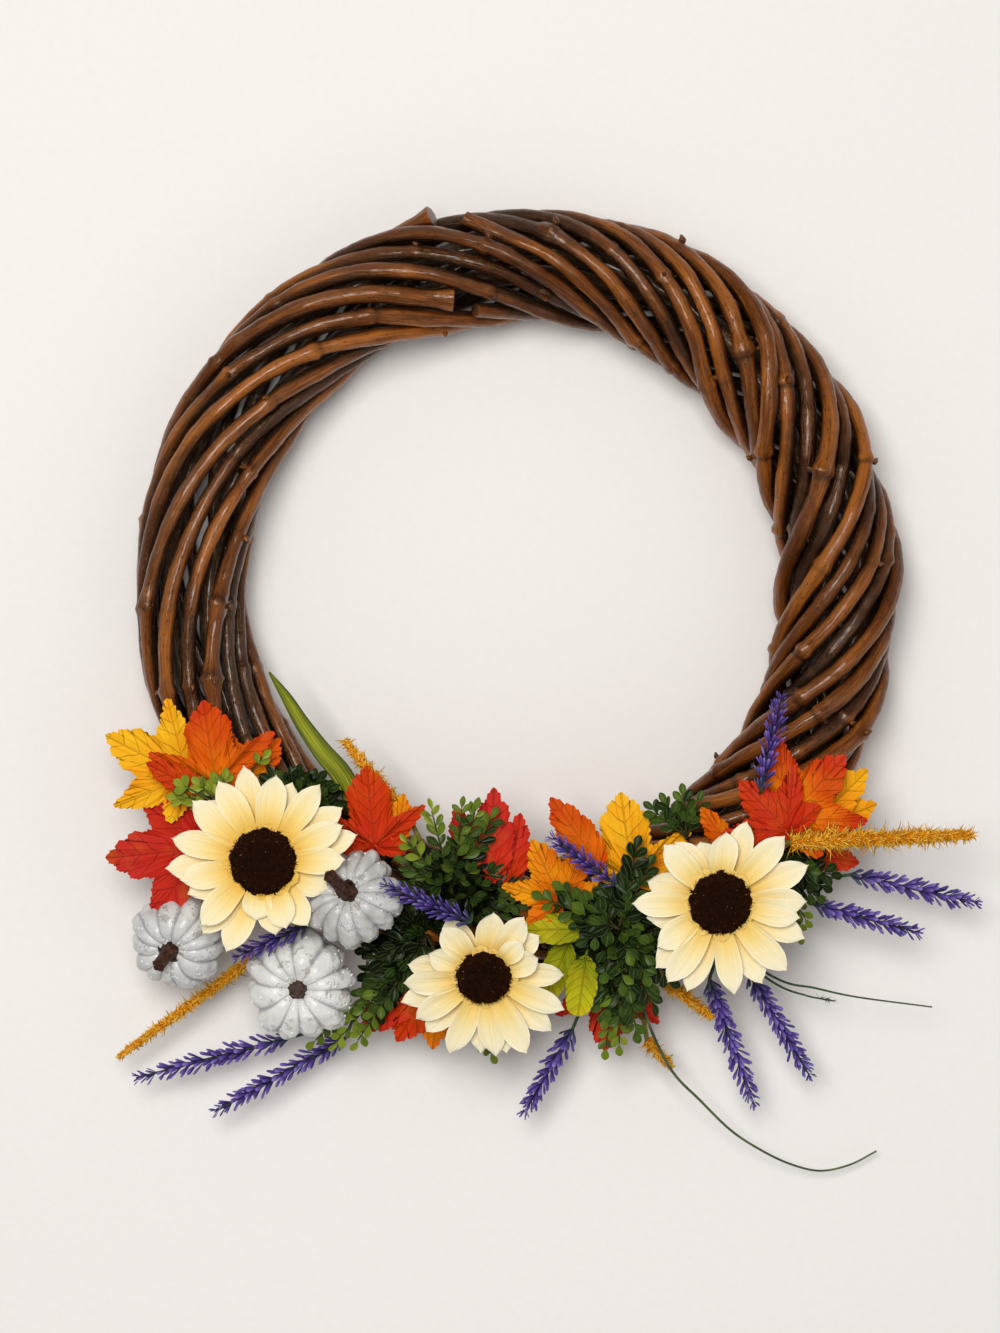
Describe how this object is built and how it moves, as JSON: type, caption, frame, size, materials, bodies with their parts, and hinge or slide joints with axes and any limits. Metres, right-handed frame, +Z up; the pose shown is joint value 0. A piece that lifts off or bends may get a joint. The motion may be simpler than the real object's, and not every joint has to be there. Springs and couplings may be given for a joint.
{
  "type": "vine wreath",
  "caption": "Wreath of wound brown vine lying flat, with cream sunflowers, pale ribbed pumpkins, maple leaves, boxwood, lavender and golden foxtails along its lower edge",
  "frame": {"origin": "centre of the bounding box in X and Y, level with the flats under the vines that it rests on", "axes": "+Z up, out of the wreath's front; +Y towards the top of the wreath, across the hole from the flowers; +X to the right seen from the front"},
  "size_m": [0.4538, 0.5053, 0.1021],
  "materials": {
    "vine": "satin, dried vine bark",
    "pumpkin_skin": "matte, weathered pale paint",
    "pumpkin_stalk": "matte brown",
    "petal": "matte fabric petals",
    "flower_disc": "fuzzy dark pile",
    "calyx": "moulded green",
    "lavender": "satin moulded florets",
    "foxtail": "dry golden bristles",
    "grass_blade": "striped satin",
    "grass_wire": "satin",
    "maple_orange": "printed fabric leaf",
    "maple_red": "printed fabric leaf",
    "maple_yellow": "printed fabric leaf",
    "waved_leaf": "printed fabric leaf",
    "boxwood": "glossy moulded leaves"
  },
  "bodies": {
    "root": {"vine_01": "vine", "vine_02": "vine", "vine_03": "vine", "vine_04": "vine", "vine_05": "vine", "vine_06": "vine", "vine_07": "vine", "vine_08": "vine", "vine_09": "vine", "vine_10": "vine", "vine_11": "vine", "vine_12": "vine", "vine_13": "vine", "vine_inner_1": "vine", "vine_inner_2": "vine", "pumpkin_left_body": "pumpkin_skin", "pumpkin_left_stalk": "pumpkin_stalk", "pumpkin_upper_body": "pumpkin_skin", "pumpkin_upper_stalk": "pumpkin_stalk", "pumpkin_lower_body": "pumpkin_skin", "pumpkin_lower_stalk": "pumpkin_stalk", "sunflower_left_disc": "flower_disc", "sunflower_left_petals": "petal", "sunflower_left_calyx": "calyx", "sunflower_middle_disc": "flower_disc", "sunflower_middle_petals": "petal", "sunflower_middle_calyx": "calyx", "sunflower_right_disc": "flower_disc", "sunflower_right_petals": "petal", "sunflower_right_calyx": "calyx", "lavender_1": "lavender", "lavender_2": "lavender", "lavender_3": "lavender", "lavender_4": "lavender", "lavender_5": "lavender", "lavender_6": "lavender", "lavender_7": "lavender", "lavender_8": "lavender", "foxtail_left": "foxtail", "foxtail_top": "foxtail", "foxtail_right": "foxtail", "foxtail_bottom": "foxtail", "grass_blade": "grass_blade", "grass_wire": "grass_wire", "maple_left_upper": "maple_orange", "maple_left_lower": "maple_red", "maple_centre_left": "maple_orange", "maple_centre_red": "maple_red", "maple_centre_right": "maple_yellow", "maple_right": "maple_orange", "maple_bottom_left": "maple_orange", "maple_bottom_right": "maple_red", "green_leaves": "waved_leaf", "boxwood_1": "boxwood", "boxwood_2": "boxwood", "boxwood_3": "boxwood", "boxwood_4": "boxwood", "boxwood_5": "boxwood", "boxwood_6": "boxwood", "boxwood_7": "boxwood"}
  },
  "joints": []
}
